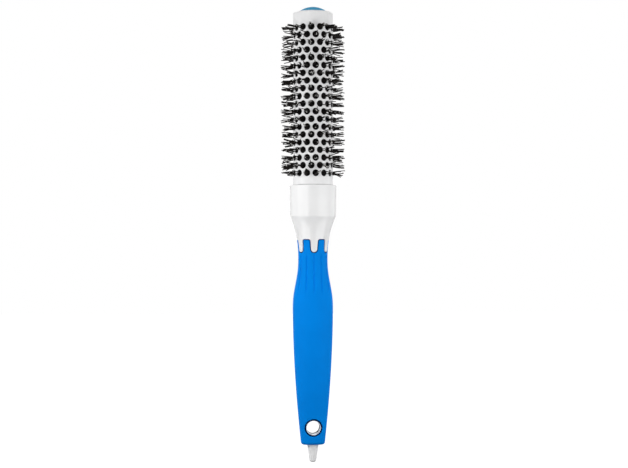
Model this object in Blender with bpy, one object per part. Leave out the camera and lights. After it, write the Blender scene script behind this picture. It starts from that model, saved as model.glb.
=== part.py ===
"""Round barrel hair brush: a perforated tube over a twisted-wire bristle core, on a two-shot handle.

The origin is the centre of the hanging hole. +Z runs along the brush to the tip of the barrel,
and -Y is the front. Sizes are in metres and angles in radians.
"""
import math

import bmesh
import bpy
from mathutils import Vector
from mathutils.geometry import delaunay_2d_cdt

# Gap left between pieces that seat on one another
CLEARANCE = 0.0003

# Handle outline, from the hanging hole up to the ferrule
HOLE_TO_WAIST = 0.1067
WAIST_TO_BELLY = 0.0332
HEEL_LENGTH = 0.0108
WAIST_RADIUS = 0.0092
BELLY_WIDTH = 0.0253
BELLY_DEPTH = 0.0205
HEEL_WIDTH = 0.0148
HEEL_WALL = 0.00135
HEEL_ROUND = 0.0008
HEEL_SQUARENESS = 3.0
TAPER_POWER = 1.77
NECK_LENGTH = 0.0257
NECK_POWER = 2.15

# Soft grip and the scalloped edge where it meets the white neck
GRIP_SKIN = 0.0020
NECK_SHOWN = 0.0144
FINGER_COUNT = 6
FINGER_WIDTH = 0.0039
FINGER_DROP = 0.0081
FINGER_DRAFT = 0.00024
FINGER_GROOVE = 0.00045
TAB_CORNER = 0.0008
FLUTE_COUNT = 12
FLUTE_DEPTH = 0.00035
FLUTE_LENGTH = 0.0280

# Ferrule that takes the barrel
FERRULE_LENGTH = 0.0194
FERRULE_WALL = 0.00195
FERRULE_TAPER = 0.0003
FERRULE_ROUND = 0.0006
SOCKET_DEPTH = 0.0100

# Hanging hole and tail
HANG_RADIUS = 0.0045
HANG_LIP = 0.0009
BOSS_WALL = 0.0018
BOSS_PROUD = 0.0003
TAIL_RADIUS = 0.0036
TAIL_END_RADIUS = 0.0022
TAIL_LENGTH = 0.0113
TAIL_NOSE = 0.0016

# Perforated barrel
BARREL_RADIUS = 0.0125
BARREL_WALL = 0.0006
BARREL_SHOWN = 0.10845
BARREL_ROUND = 0.0012
BARREL_MOUTH = 0.0098
PORT_RADIUS = 0.0021
PORT_SIDES = 8
PORTS_PER_ROW = 14
ROW_PITCH = 0.00478
FIRST_ROW_DROP = 0.01025
LAST_ROW_RISE = 0.0070
ROW_TURN = math.radians(-9.5)

# Twisted wire, bristles and the pieces that centre them in the barrel
WIRE_RADIUS = 0.0007
WIRE_LEG_GAP = 0.0005
WIRE_TWIST = 0.0190
WIRE_INSERT = 0.0120
WIRE_HOLD = 0.0040
BED_WALL = 0.0014
BED_END = 0.0020
STRAND_SIZE = 0.0006
SPLAY_LEAST = 0.35
SPLAY_RANGE = 0.55
PAIR_SPLAY = 0.8
BRISTLE_RADIUS = 0.0204
BUSH_RISE = 0.0025
BUSH_ROUND = 0.0006
CAP_DOME_HEIGHT = 0.0037
CAP_SKIRT_LENGTH = 0.0060
CAP_WALL = 0.0014
CAP_TOP = 0.0010

# How finely round things are faceted
HANDLE_SIDES = 36
SPINE_SIDES = 12
TURNED_SIDES = 20
BORE_SIDES = 12
TWIST_POINTS = 4
COLUMNS_PER_PORT = 2

FRONT = -math.pi / 2
FULL_TURN = 2 * math.pi
GOLDEN_ANGLE = math.pi * (3 - math.sqrt(5))
MARGIN = 0.0020

# Heights along the brush, from the lowest to the highest
HEEL_Z = -HEEL_LENGTH
TAIL_Z = HEEL_Z - TAIL_LENGTH
WAIST_Z = HOLE_TO_WAIST
BELLY_Z = WAIST_Z - WAIST_TO_BELLY
EDGE_Z = WAIST_Z + NECK_LENGTH
TAB_Z = EDGE_Z - NECK_SHOWN
FINGER_Z = TAB_Z - FINGER_DROP
FLUTE_Z = FINGER_Z - FLUTE_LENGTH
FERRULE_Z = EDGE_Z + FERRULE_LENGTH
SOCKET_Z = FERRULE_Z - SOCKET_DEPTH
BARREL_FOOT_Z = SOCKET_Z + CLEARANCE
BARREL_TIP_Z = FERRULE_Z + BARREL_SHOWN
FIRST_ROW_Z = BARREL_TIP_Z - FIRST_ROW_DROP
ROW_COUNT = 1 + int((FIRST_ROW_Z - LAST_ROW_RISE - FERRULE_Z) / ROW_PITCH)

# Radii that follow from the fits
SOCKET_RADIUS = BARREL_RADIUS + CLEARANCE
FERRULE_RADIUS = SOCKET_RADIUS + FERRULE_WALL
EDGE_RADIUS = FERRULE_RADIUS - FERRULE_TAPER
BARREL_BORE = BARREL_RADIUS - BARREL_WALL
PLUG_RADIUS = BARREL_BORE - CLEARANCE
DOME_RADIUS = BARREL_MOUTH - CLEARANCE
WIRE_OFFSET = WIRE_RADIUS + WIRE_LEG_GAP / 2
WIRE_BORE = WIRE_OFFSET + WIRE_RADIUS + CLEARANCE
BED_RADIUS = WIRE_BORE + BED_WALL
HEEL_DEPTH = 2 * (TAIL_RADIUS + CLEARANCE + HEEL_WALL)
BOSS_RADIUS = HANG_RADIUS + BOSS_WALL

# Where the inner pieces end
BUSH_TOP_Z = FERRULE_Z + BUSH_RISE
BED_FOOT_Z = BUSH_TOP_Z + CLEARANCE
BED_TOP_Z = FIRST_ROW_Z + BED_END
CAP_BOSS_Z = BED_TOP_Z + CLEARANCE
WIRE_TOP_Z = CAP_BOSS_Z + WIRE_HOLD
WIRE_FOOT_Z = SOCKET_Z - WIRE_INSERT


def clear_scene():
    for item in list(bpy.data.objects):
        bpy.data.objects.remove(item, do_unlink=True)


def finish(name, colour, roughness, metallic=0.0):
    """A plain finish for one piece."""
    material = bpy.data.materials.new(name)
    material.use_nodes = True
    shader = material.node_tree.nodes["Principled BSDF"]
    shader.inputs["Base Color"].default_value = (*colour, 1.0)
    shader.inputs["Roughness"].default_value = roughness
    shader.inputs["Metallic"].default_value = metallic
    return material


def add_object(name, work, smooth_angle=math.radians(35)):
    """Put a bmesh into the scene as a closed, outward-facing object."""
    bmesh.ops.recalc_face_normals(work, faces=work.faces)
    mesh = bpy.data.meshes.new(name)
    work.to_mesh(mesh)
    work.free()
    mesh.shade_smooth()
    mesh.set_sharp_from_angle(angle=smooth_angle)
    item = bpy.data.objects.new(name, mesh)
    bpy.context.collection.objects.link(item)
    return item


def combine(target, tool, operation):
    """Cut a tool from a piece, or join it on; the tool itself is only a guide."""
    step = target.modifiers.new(tool.name, "BOOLEAN")
    step.operation = operation
    step.solver = "EXACT"
    step.object = tool
    tool.hide_render = True
    tool.display_type = "WIRE"


def ring_angles(sides):
    """Angles round the brush axis, half a step either side of the front."""
    return [FRONT + FULL_TURN * (k + 0.5) / sides for k in range(sides)]


def circle(radius, height, sides):
    """A level ring of points around the brush axis."""
    return [Vector((radius * math.cos(a), radius * math.sin(a), height)) for a in ring_angles(sides)]


def bridge(work, lower, upper):
    """Quads between two rings that have as many vertices each."""
    for k in range(len(lower)):
        after = (k + 1) % len(lower)
        work.faces.new((lower[k], lower[after], upper[after], upper[k]))


def loft(name, rings):
    """A skin through rings of equal counts, closed by a flat cap at each end."""
    work = bmesh.new()
    loops = [[work.verts.new(point) for point in ring] for ring in rings]
    for lower, upper in zip(loops, loops[1:]):
        bridge(work, lower, upper)
    work.faces.new(loops[0])
    work.faces.new(loops[-1])
    return add_object(name, work)


def turned_ring(name, profile, sides):
    """A ring turned about the brush axis from a closed profile of (radius, height) points."""
    work = bmesh.new()
    loops = [[work.verts.new(p) for p in circle(r, z, sides)] for r, z in profile]
    for lower, upper in zip(loops, loops[1:] + loops[:1]):
        bridge(work, lower, upper)
    return add_object(name, work)


def turned_solid(name, profile, sides):
    """A solid turned about the brush axis, with flat ends, from an open profile."""
    return loft(name, [circle(radius, height, sides) for radius, height in profile])


def lay_across(item):
    """Turn a piece made along the brush axis so that it lies along Y, through the hanging hole."""
    item.rotation_euler = (math.pi / 2, 0.0, 0.0)


def quarter(radius, steps):
    """(inset, rise) pairs of a quarter round, from the flat end to the side."""
    turns = [math.pi / 2 * k / steps for k in range(steps + 1)]
    return [(radius * (1 - math.sin(a)), radius * (1 - math.cos(a))) for a in turns]


def smooth_share(value):
    """A share held between 0 and 1, eased at both ends."""
    share = min(1.0, max(0.0, value))
    return share ** 3 * (10 - 15 * share + 6 * share ** 2)


def half_size(height, waist, belly, heel):
    """Half the handle's width or depth at a height, from its three governing half sizes."""
    if height >= WAIST_Z:
        rise = min(1.0, (height - WAIST_Z) / NECK_LENGTH)
        return waist + (EDGE_RADIUS - waist) * rise ** NECK_POWER
    if height >= BELLY_Z:
        return waist + (belly - waist) * smooth_share((WAIST_Z - height) / WAIST_TO_BELLY)
    return belly + (heel - belly) * below_belly(height) ** TAPER_POWER


def below_belly(height):
    """How far down a height lies from the belly to the heel, as a share."""
    return min(1.0, max(0.0, (BELLY_Z - height) / (BELLY_Z - HEEL_Z)))


def half_width(height):
    return half_size(height, WAIST_RADIUS, BELLY_WIDTH / 2, HEEL_WIDTH / 2)


def half_depth(height):
    return half_size(height, WAIST_RADIUS, BELLY_DEPTH / 2, HEEL_DEPTH / 2)


def flute_dip(angle, height):
    """Depth of the soft flutes: a valley runs down from the middle of each finger and each tab."""
    fade_down = smooth_share((height - FLUTE_Z) / FLUTE_LENGTH)
    fade_up = smooth_share((TAB_Z - height) / FINGER_DROP)
    wave = 0.5 + 0.5 * math.cos(FLUTE_COUNT * (angle - FRONT))
    return FLUTE_DEPTH * fade_down * fade_up * wave


def handle_ring(height, inset, sides, fluted):
    """The handle's section at a height: round at the waist, a squarer oval towards the heel."""
    across = half_width(height) - inset
    deep = half_depth(height) - inset
    power = 2 + (HEEL_SQUARENESS - 2) * below_belly(height)
    ring = []
    for angle in ring_angles(sides):
        x_part = abs(math.cos(angle) / across) ** power
        y_part = abs(math.sin(angle) / deep) ** power
        reach = (x_part + y_part) ** (-1 / power)
        if fluted:
            reach -= flute_dip(angle, height)
        ring.append(Vector((reach * math.cos(angle), reach * math.sin(angle), height)))
    return ring


def heights(start, end, count):
    return [start + (end - start) * k / count for k in range(count + 1)]


def scallop_line(gap):
    """(angle, height) points once round the scalloped edge, kept a gap below and beside the white."""
    half = FINGER_WIDTH / 2 + gap
    tip = FINGER_Z - gap
    top = TAB_Z - gap
    side = []
    for k in range(4):
        turn = math.pi / 2 * k / 3
        side.append((half * math.sin(turn), tip + half * (1 - math.cos(turn))))
    for k in range(3):
        turn = math.pi / 2 * k / 2
        run = half + FINGER_DRAFT + TAB_CORNER * (1 - math.cos(turn))
        side.append((run, top - TAB_CORNER * (1 - math.sin(turn))))
    finger = [(-run, rise) for run, rise in reversed(side[1:])] + side
    line = []
    for k in range(FINGER_COUNT):
        centre = FRONT + FULL_TURN * k / FINGER_COUNT
        line += [(centre + run / WAIST_RADIUS, rise) for run, rise in finger]
    return line


def scallop_tool(name, gap, flat_z):
    """A thick ring whose one end is the scalloped edge and whose other end is flat."""
    inner = WAIST_RADIUS - GRIP_SKIN - MARGIN
    outer = EDGE_RADIUS + MARGIN
    line = scallop_line(gap)
    work = bmesh.new()
    loops = []
    for radius, edge in ((inner, True), (outer, True), (outer, False), (inner, False)):
        loop = []
        for angle, rise in line:
            height = rise if edge else flat_z
            loop.append(work.verts.new((radius * math.cos(angle), radius * math.sin(angle), height)))
        loops.append(loop)
    for lower, upper in zip(loops, loops[1:] + loops[:1]):
        bridge(work, lower, upper)
    return add_object(name, work)


def spine(name, gap):
    """The shaped core under the grip's skin, from inside the neck down to the hanging hole."""
    stations = heights(0.0, BELLY_Z, 3) + heights(BELLY_Z, WAIST_Z, 4)[1:] + [TAB_Z + MARGIN]
    return loft(name, [handle_ring(z, GRIP_SKIN - gap, SPINE_SIDES, False) for z in stations])


def boss(name, gap):
    """The round boss that carries the hanging hole, lying along Y."""
    reach = half_depth(0.0) - GRIP_SKIN + BOSS_PROUD + gap
    radius = BOSS_RADIUS + gap
    bevel = BOSS_WALL / 3
    profile = [
        (radius - bevel, -reach),
        (radius, bevel - reach),
        (radius, reach - bevel),
        (radius - bevel, reach),
    ]
    item = turned_solid(name, profile, TURNED_SIDES)
    lay_across(item)
    return item


def tail(name, gap):
    """The tapered tail below the grip, with a rounded end."""
    nose = [(TAIL_END_RADIUS - inset, TAIL_Z + rise) for inset, rise in quarter(TAIL_NOSE, 3)]
    profile = [(radius + gap, height - gap) for radius, height in nose]
    profile += [(TAIL_RADIUS + gap, HEEL_Z), (TAIL_RADIUS + gap, -HANG_RADIUS - BOSS_WALL / 2)]
    return turned_solid(name, profile, BORE_SIDES)


def hang_hole(name, lip):
    """The hole's cutter along Y, wider by a lip where it goes through the grip's skin."""
    end = half_depth(0.0) + MARGIN
    radius = HANG_RADIUS + lip
    item = turned_solid(name, [(radius, -end), (radius, end)], TURNED_SIDES)
    lay_across(item)
    return item


def build_handle_core():
    """White moulding: ferrule, neck, fingers, spine, hanging-hole boss and tail."""
    floor = circle(SOCKET_RADIUS, SOCKET_Z, HANDLE_SIDES)
    rings = [floor, circle(SOCKET_RADIUS, FERRULE_Z, HANDLE_SIDES)]
    for inset, drop in quarter(FERRULE_ROUND, 2):
        rings.append(circle(FERRULE_RADIUS - inset, FERRULE_Z - drop, HANDLE_SIDES))
    for height in heights(EDGE_Z, TAB_Z, 5) + heights(TAB_Z, FINGER_Z - MARGIN, 2)[1:]:
        rings.append(handle_ring(height, 0.0, HANDLE_SIDES, False))
    core = loft("handle_core", rings)
    combine(core, scallop_tool("tab_slots", 0.0, FINGER_Z - 2 * MARGIN), "DIFFERENCE")
    combine(core, spine("core_spine", 0.0), "UNION")
    combine(core, boss("core_boss", 0.0), "UNION")
    combine(core, tail("core_tail", 0.0), "UNION")
    combine(core, hang_hole("core_hole", 0.0), "DIFFERENCE")
    foot = WIRE_FOOT_Z - CLEARANCE
    bore = turned_solid("wire_socket", [(WIRE_BORE, foot), (WIRE_BORE, SOCKET_Z + MARGIN)], BORE_SIDES)
    combine(core, bore, "DIFFERENCE")
    core.data.materials.append(finish("gloss_white", (0.80, 0.80, 0.79), 0.22))


def build_grip():
    """Blue soft skin moulded over the core, with flutes, tabs between the fingers and the hole."""
    rings = []
    for inset, rise in quarter(HEEL_ROUND, 2):
        rings.append(handle_ring(HEEL_Z + rise, inset, HANDLE_SIDES, False))
    stations = heights(HEEL_Z + HEEL_ROUND, BELLY_Z, 5)[1:] + heights(BELLY_Z, WAIST_Z, 5)[1:]
    stations += heights(WAIST_Z, TAB_Z, 2)[1:]
    rings += [handle_ring(height, 0.0, HANDLE_SIDES, True) for height in stations]
    grip = loft("grip", rings)
    combine(grip, scallop_tool("finger_slots", FINGER_GROOVE, TAB_Z + MARGIN), "DIFFERENCE")
    combine(grip, spine("spine_pocket", CLEARANCE), "DIFFERENCE")
    combine(grip, boss("boss_pocket", CLEARANCE), "DIFFERENCE")
    combine(grip, tail("tail_pocket", CLEARANCE), "DIFFERENCE")
    combine(grip, hang_hole("grip_hole", HANG_LIP), "DIFFERENCE")
    grip.data.materials.append(finish("soft_blue", (0.003, 0.21, 0.71), 0.5))


def port_angle(row, column):
    """Angle of a hole; every other row is turned by half a step."""
    return FRONT + ROW_TURN + FULL_TURN * (column + 0.5 * (row % 2)) / PORTS_PER_ROW


def sheet_strip():
    """One flat strip of the barrel's sheet, from one hole's middle to the next in its row.

    Returns (share of the strip's width, height) points and the triangles between them.
    """
    width = FULL_TURN * BARREL_RADIUS / PORTS_PER_ROW
    top = BARREL_TIP_Z - BARREL_ROUND
    points = []
    owners = []
    edges = []

    def add_line(line, owner):
        start = len(points)
        points.extend(Vector(point) for point in line)
        owners.extend([owner] * len(line))
        edges.extend((start + k, start + k + 1) for k in range(len(line) - 1))
        return start

    for height in (BARREL_FOOT_Z, top):
        columns = range(COLUMNS_PER_PORT + 1)
        add_line([(width * k / COLUMNS_PER_PORT, height) for k in columns], -1)
    for row in range(ROW_COUNT):
        middle = FIRST_ROW_Z - ROW_PITCH * row
        turns = [FULL_TURN * k / PORT_SIDES for k in range(PORT_SIDES + 1)]
        ring = [(round(PORT_RADIUS * math.sin(a), 9), middle + PORT_RADIUS * math.cos(a)) for a in turns]
        if row % 2:
            start = add_line([(width / 2 + x, z) for x, z in ring[:-1]], row)
            edges.append((start + PORT_SIDES - 1, start))
        else:
            half = PORT_SIDES // 2
            add_line(ring[:half + 1], row)
            add_line([(width + x, z) for x, z in ring[half:]], row + ROW_COUNT)
    flat, _, faces, sources, _, _ = delaunay_2d_cdt(points, edges, [], 0, 1e-7)
    owner_of = [owners[source[0]] for source in sources]
    sheet = []
    for face in faces:
        around = {owner_of[k] for k in face}
        if len(around) > 1 or -1 in around:
            sheet.append(face)
    return [(point.x / width, point.y) for point in flat], sheet


def build_barrel():
    """Ceramic-coated aluminium tube: a perforated sheet rolled up, with its upper rim turned in."""
    flat, sheet = sheet_strip()
    work = bmesh.new()
    for radius in (BARREL_RADIUS, BARREL_BORE):
        for column in range(PORTS_PER_ROW):
            corners = []
            for share, height in flat:
                angle = port_angle(0, column + share)
                corners.append(work.verts.new((radius * math.cos(angle), radius * math.sin(angle), height)))
            for face in sheet:
                work.faces.new([corners[k] for k in face])
    bmesh.ops.remove_doubles(work, verts=work.verts, dist=1e-6)
    close_barrel(work)
    barrel = add_object("barrel", work, math.radians(30))
    barrel.data.materials.append(finish("ceramic_white", (0.74, 0.74, 0.74), 0.4))


def close_barrel(work):
    """Join the outer and inner skins through every hole and along both rims."""
    work.verts.ensure_lookup_table()
    middle = (BARREL_RADIUS + BARREL_BORE) / 2
    inner_at = {}
    for vert in work.verts:
        if vert.co.xy.length < middle:
            inner_at[place_key(vert)] = vert
    rim = BARREL_TIP_Z - BARREL_ROUND
    rim_pairs = []
    for edge in [edge for edge in work.edges if edge.is_boundary]:
        first, second = edge.verts
        if first.co.xy.length < middle:
            continue
        inner_first = inner_at[place_key(first)]
        inner_second = inner_at[place_key(second)]
        if min(first.co.z, second.co.z) > rim - BARREL_ROUND / 2:
            rim_pairs.append((first, second, inner_first, inner_second))
        else:
            work.faces.new((first, second, inner_second, inner_first))
    turned_in = [
        (BARREL_RADIUS - BARREL_ROUND, BARREL_TIP_Z),
        (BARREL_MOUTH, BARREL_TIP_Z),
        (BARREL_MOUTH, BARREL_TIP_Z - BARREL_WALL),
    ]
    crown = {}
    for first, second, inner_first, inner_second in rim_pairs:
        for vert, inner in ((first, inner_first), (second, inner_second)):
            if vert not in crown:
                out = vert.co.xy / BARREL_RADIUS
                lip = [work.verts.new((out.x * radius, out.y * radius, z)) for radius, z in turned_in]
                crown[vert] = [vert] + lip + [inner]
        for k in range(len(turned_in) + 1):
            work.faces.new((crown[first][k], crown[second][k], crown[second][k + 1], crown[first][k + 1]))


def place_key(vert):
    """Where a vertex lies on the sheet, whichever skin it is on."""
    angle = math.atan2(vert.co.y, vert.co.x)
    return round(math.cos(angle), 4), round(math.sin(angle), 4), round(vert.co.z, 6)


def stitch(work, low, high):
    """Triangles between two rings of (angle, vertex) that may differ in count."""
    first = low[0][0]
    nearest = min(range(len(high)), key=lambda k: 1 - math.cos(high[k][0] - first))
    lap = high[nearest:] + [(angle + FULL_TURN, vert) for angle, vert in high[:nearest]]
    shift = FULL_TURN * round((lap[0][0] - first) / FULL_TURN)
    high = [(angle - shift, vert) for angle, vert in lap]
    high.append((high[0][0] + FULL_TURN, high[0][1]))
    low = low + [(first + FULL_TURN, low[0][1])]
    i = 0
    j = 0
    while i < len(low) - 1 or j < len(high) - 1:
        low_done = i == len(low) - 1
        if not low_done and (j == len(high) - 1 or low[i + 1][0] <= high[j + 1][0]):
            work.faces.new((low[i][1], low[i + 1][1], high[j][1]))
            i += 1
        else:
            work.faces.new((low[i][1], high[j + 1][1], high[j][1]))
            j += 1


def strands_per_port(row):
    """Every tenth row has two strands in each hole, and the others have one."""
    return 2 if row % 10 == 4 else 1


def row_strands(row):
    """(angle of the strand's root, angle of its hole, which side it leans to) round one row."""
    spread = FULL_TURN / PORTS_PER_ROW / 4
    strands = []
    for column in range(PORTS_PER_ROW):
        middle = port_angle(row, column)
        if strands_per_port(row) == 1:
            strands.append((middle, middle, 0))
        else:
            strands.append((middle - spread, middle, -1))
            strands.append((middle + spread, middle, 1))
    return strands


def strand_tip(root, middle, side, height, count):
    """Tip of one strand, splayed as far as its hole in the barrel leaves room."""
    radial = Vector((math.cos(middle), math.sin(middle), 0.0))
    across = Vector((-math.sin(middle), math.cos(middle), 0.0))
    start = Vector((BED_RADIUS * math.cos(root), BED_RADIUS * math.sin(root), height))
    room = PORT_RADIUS * math.cos(math.pi / PORT_SIDES) - STRAND_SIZE / 2 - CLEARANCE
    splay = room * (SPLAY_LEAST + SPLAY_RANGE * (count * GOLDEN_ANGLE % 1.0))
    turn = count * GOLDEN_ANGLE
    sideways = splay * math.cos(turn)
    if side:
        sideways = side * max(abs(sideways), room / 2)
    along = splay * math.sin(turn) * (PAIR_SPLAY if side else 1.0)
    port = radial * BARREL_RADIUS + across * sideways + Vector((0.0, 0.0, height + along))
    reach = (BRISTLE_RADIUS - start.dot(radial)) / (port - start).dot(radial)
    return start + (port - start) * reach


def build_bristles():
    """Nylon strands fused to the sleeve of filament that the wire grips; they leave by the holes."""
    work = bmesh.new()
    half = STRAND_SIZE / 2

    def ring(radius, height, turns):
        return [(a, work.verts.new((radius * math.cos(a), radius * math.sin(a), height))) for a in turns]

    even = ring_angles(BORE_SIDES)
    bore_foot = ring(WIRE_BORE, BED_FOOT_Z, even)
    foot = ring(BED_RADIUS, BED_FOOT_Z, even)
    stitch(work, bore_foot, foot)
    below = foot
    count = 0
    for row in reversed(range(ROW_COUNT)):
        height = FIRST_ROW_Z - ROW_PITCH * row
        strands = row_strands(row)
        swing = half / BED_RADIUS
        lower = ring(BED_RADIUS, height - half, [a + s for a, _, _ in strands for s in (-swing, swing)])
        upper = ring(BED_RADIUS, height + half, [a for a, _, _ in strands])
        stitch(work, below, lower)
        for k, (root, middle, side) in enumerate(strands):
            left = lower[2 * k][1]
            right = lower[2 * k + 1][1]
            crest = upper[k][1]
            after = (k + 1) % len(strands)
            next_left = lower[2 * after][1]
            next_crest = upper[after][1]
            work.faces.new((right, next_left, next_crest))
            work.faces.new((right, next_crest, crest))
            start = Vector((BED_RADIUS * math.cos(root), BED_RADIUS * math.sin(root), height))
            shift = strand_tip(root, middle, side, height, count) - start
            tips = [work.verts.new(vert.co + shift) for vert in (left, right, crest)]
            bridge(work, (left, right, crest), tips)
            work.faces.new(tips)
            count += 1
        below = upper
    top = ring(BED_RADIUS, BED_TOP_Z, even)
    bore_top = ring(WIRE_BORE, BED_TOP_Z, even)
    stitch(work, below, top)
    stitch(work, top, bore_top)
    bridge(work, [vert for _, vert in bore_foot], [vert for _, vert in bore_top])
    item = add_object("bristle_insert", work)
    item.data.materials.append(finish("nylon_black", (0.012, 0.011, 0.010), 0.45))
    print("bristle strands:", count)


def build_wire():
    """One steel wire folded in half and twisted, with its bend up in the end cap."""
    bend_z = WIRE_TOP_Z - WIRE_RADIUS - WIRE_OFFSET
    steps = math.ceil((bend_z - WIRE_FOOT_Z) / WIRE_TWIST * TWIST_POINTS)

    def leg_point(height, opposite):
        angle = FULL_TURN * (height - bend_z) / WIRE_TWIST + opposite
        return Vector((WIRE_OFFSET * math.cos(angle), WIRE_OFFSET * math.sin(angle), height))

    rising = [leg_point(z, 0.0) for z in heights(WIRE_FOOT_Z, bend_z, steps)]
    falling = [leg_point(z, math.pi) for z in heights(bend_z, WIRE_FOOT_Z, steps)]
    over = []
    for k in range(1, 4):
        turn = math.pi * k / 4
        over.append(Vector((WIRE_OFFSET * math.cos(turn), 0.0, bend_z + WIRE_OFFSET * math.sin(turn))))
    path = rising + over + falling
    curve = bpy.data.curves.new("core_wire", "CURVE")
    curve.dimensions = "3D"
    curve.bevel_depth = WIRE_RADIUS
    curve.bevel_resolution = 0
    curve.use_fill_caps = True
    line = curve.splines.new("POLY")
    line.points.add(len(path) - 1)
    for spot, place in zip(line.points, path):
        spot.co = (*place, 1.0)
    item = bpy.data.objects.new("core_wire", curve)
    bpy.context.collection.objects.link(item)
    curve.materials.append(finish("steel", (0.55, 0.55, 0.56), 0.35, 1.0))


def build_bush():
    """Plastic bush that fills the barrel's lower end and centres the wire."""
    profile = [
        (WIRE_BORE, BARREL_FOOT_Z),
        (PLUG_RADIUS, BARREL_FOOT_Z),
        (PLUG_RADIUS, BUSH_TOP_Z - BUSH_ROUND),
        (PLUG_RADIUS - BUSH_ROUND, BUSH_TOP_Z),
        (WIRE_BORE, BUSH_TOP_Z),
    ]
    bush = turned_ring("wire_bush", profile, TURNED_SIDES)
    bush.data.materials.append(finish("bush_white", (0.72, 0.72, 0.71), 0.45))


def build_end_cap():
    """Blue domed cap that fills the barrel's mouth, with a socket for the wire's bend."""
    bowl = (DOME_RADIUS ** 2 + CAP_DOME_HEIGHT ** 2) / (2 * CAP_DOME_HEIGHT)
    spread = math.asin(DOME_RADIUS / bowl) if CAP_DOME_HEIGHT < DOME_RADIUS else math.pi / 2
    centre_z = BARREL_TIP_Z + CAP_DOME_HEIGHT - bowl
    shoulder = BARREL_TIP_Z - BARREL_ROUND - CLEARANCE
    ceiling = shoulder - CAP_TOP
    skirt = BARREL_TIP_Z - CAP_SKIRT_LENGTH
    boss_radius = WIRE_BORE + CAP_WALL
    profile = [
        (WIRE_BORE, WIRE_TOP_Z + CLEARANCE),
        (WIRE_BORE, CAP_BOSS_Z),
        (boss_radius, CAP_BOSS_Z),
        (boss_radius, ceiling),
        (PLUG_RADIUS - CAP_WALL, ceiling),
        (PLUG_RADIUS - CAP_WALL, skirt),
        (PLUG_RADIUS, skirt),
        (PLUG_RADIUS, shoulder),
        (DOME_RADIUS, shoulder),
    ]
    for k in range(5):
        turn = spread * (1 - k / 5)
        profile.append((bowl * math.sin(turn), centre_z + bowl * math.cos(turn)))
    cap = turned_solid("end_cap", profile, TURNED_SIDES)
    cap.data.materials.append(finish("cap_blue", (0.02, 0.20, 0.46), 0.3))


def main():
    clear_scene()
    build_handle_core()
    build_grip()
    build_barrel()
    build_bristles()
    build_wire()
    build_bush()
    build_end_cap()


main()
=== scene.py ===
# %% [markdown]
# # A round barrel hair brush, dressed for its portrait
# The brush is a punched white tube with dark bristles coming out through its holes.
# The tube sits in a white ferrule, and below that is a handle with a soft blue skin.
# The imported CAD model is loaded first. It is the frame that every new piece must fit.

# %% Load the frame
import math
import random

import bmesh
import bpy
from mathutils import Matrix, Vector


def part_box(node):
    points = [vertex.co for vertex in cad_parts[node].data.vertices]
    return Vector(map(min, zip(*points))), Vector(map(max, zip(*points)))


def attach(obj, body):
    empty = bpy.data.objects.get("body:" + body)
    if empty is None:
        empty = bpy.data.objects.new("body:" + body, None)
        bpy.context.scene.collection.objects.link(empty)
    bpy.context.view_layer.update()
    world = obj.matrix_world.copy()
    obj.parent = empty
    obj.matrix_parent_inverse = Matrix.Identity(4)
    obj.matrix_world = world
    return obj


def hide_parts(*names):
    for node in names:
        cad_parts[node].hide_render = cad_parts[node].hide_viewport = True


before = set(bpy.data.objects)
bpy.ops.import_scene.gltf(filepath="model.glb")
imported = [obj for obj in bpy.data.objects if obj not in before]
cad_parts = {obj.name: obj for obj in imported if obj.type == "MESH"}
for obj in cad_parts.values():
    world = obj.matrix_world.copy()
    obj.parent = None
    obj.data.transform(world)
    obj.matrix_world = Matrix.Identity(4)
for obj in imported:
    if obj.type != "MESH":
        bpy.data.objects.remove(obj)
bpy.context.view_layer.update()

print("CAD nodes:", sorted(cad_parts))

# %% [markdown]
# ## Sizes
# Heights come from the boxes of the CAD nodes, so the new pieces land where the solids are.
# The steps between those heights are the ones that the handle was designed with.
# Lengths are written in millimetres and turned into metres by `MM`.

# %% Heights along the brush
MM = 0.001
FULL_TURN = 2 * math.pi
FRONT = -math.pi / 2

TUBE_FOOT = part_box("barrel")[0].z
TUBE_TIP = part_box("barrel")[1].z
FERRULE_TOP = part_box("handle_core")[1].z
TAIL_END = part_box("handle_core")[0].z
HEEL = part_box("grip")[0].z

FERRULE_EDGE = FERRULE_TOP - 19.4 * MM
TAB_TOP = FERRULE_EDGE - 14.4 * MM
FINGER_TIP = TAB_TOP - 8.1 * MM
WAIST = FERRULE_EDGE - 25.7 * MM
BELLY = WAIST - 33.2 * MM
GROOVE_TOP = FINGER_TIP - 0.8 * MM
GROOVE_END = FINGER_TIP - 29.0 * MM
print("tube from", round(TUBE_FOOT / MM, 1), "to", round(TUBE_TIP / MM, 1), "mm")
print("ferrule edge, tabs, finger tips, waist, belly:",
      [round(z / MM, 1) for z in (FERRULE_EDGE, TAB_TOP, FINGER_TIP, WAIST, BELLY)])

# %% [markdown]
# ## Camera
# The photograph was taken level with the middle of the brush, from about 0.9 m, and a little to its left.
# A long lens keeps the tube's sides straight.
# The floor lies well below, so that the brush hangs free over it.

# %% Place the camera
CAMERA_DISTANCE = 0.88
CAMERA_AZIMUTH = math.radians(-5.0)
CAMERA_HEIGHT = 121.2 * MM
CAMERA_SHIFT_RIGHT = 0.7 * MM
CAMERA_LENS = 80.25

toward_camera = Vector((math.sin(CAMERA_AZIMUTH), -math.cos(CAMERA_AZIMUTH), 0.0))
camera_right = Vector((math.cos(CAMERA_AZIMUTH), math.sin(CAMERA_AZIMUTH), 0.0))
bpy.ops.object.select_all(action="DESELECT")
bpy.ops.object.camera_add(location=toward_camera * CAMERA_DISTANCE
                          + camera_right * CAMERA_SHIFT_RIGHT + Vector((0, 0, CAMERA_HEIGHT)))
camera = bpy.context.object
camera.name = "portrait_camera"
camera.data.lens = CAMERA_LENS
camera.data.sensor_width = 36.0
camera.rotation_euler = (math.pi / 2, 0.0, CAMERA_AZIMUTH)
bpy.context.scene.camera = camera
bpy.context.scene.view_settings.view_transform = "Standard"
print("camera at", [round(c, 4) for c in camera.location])

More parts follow.
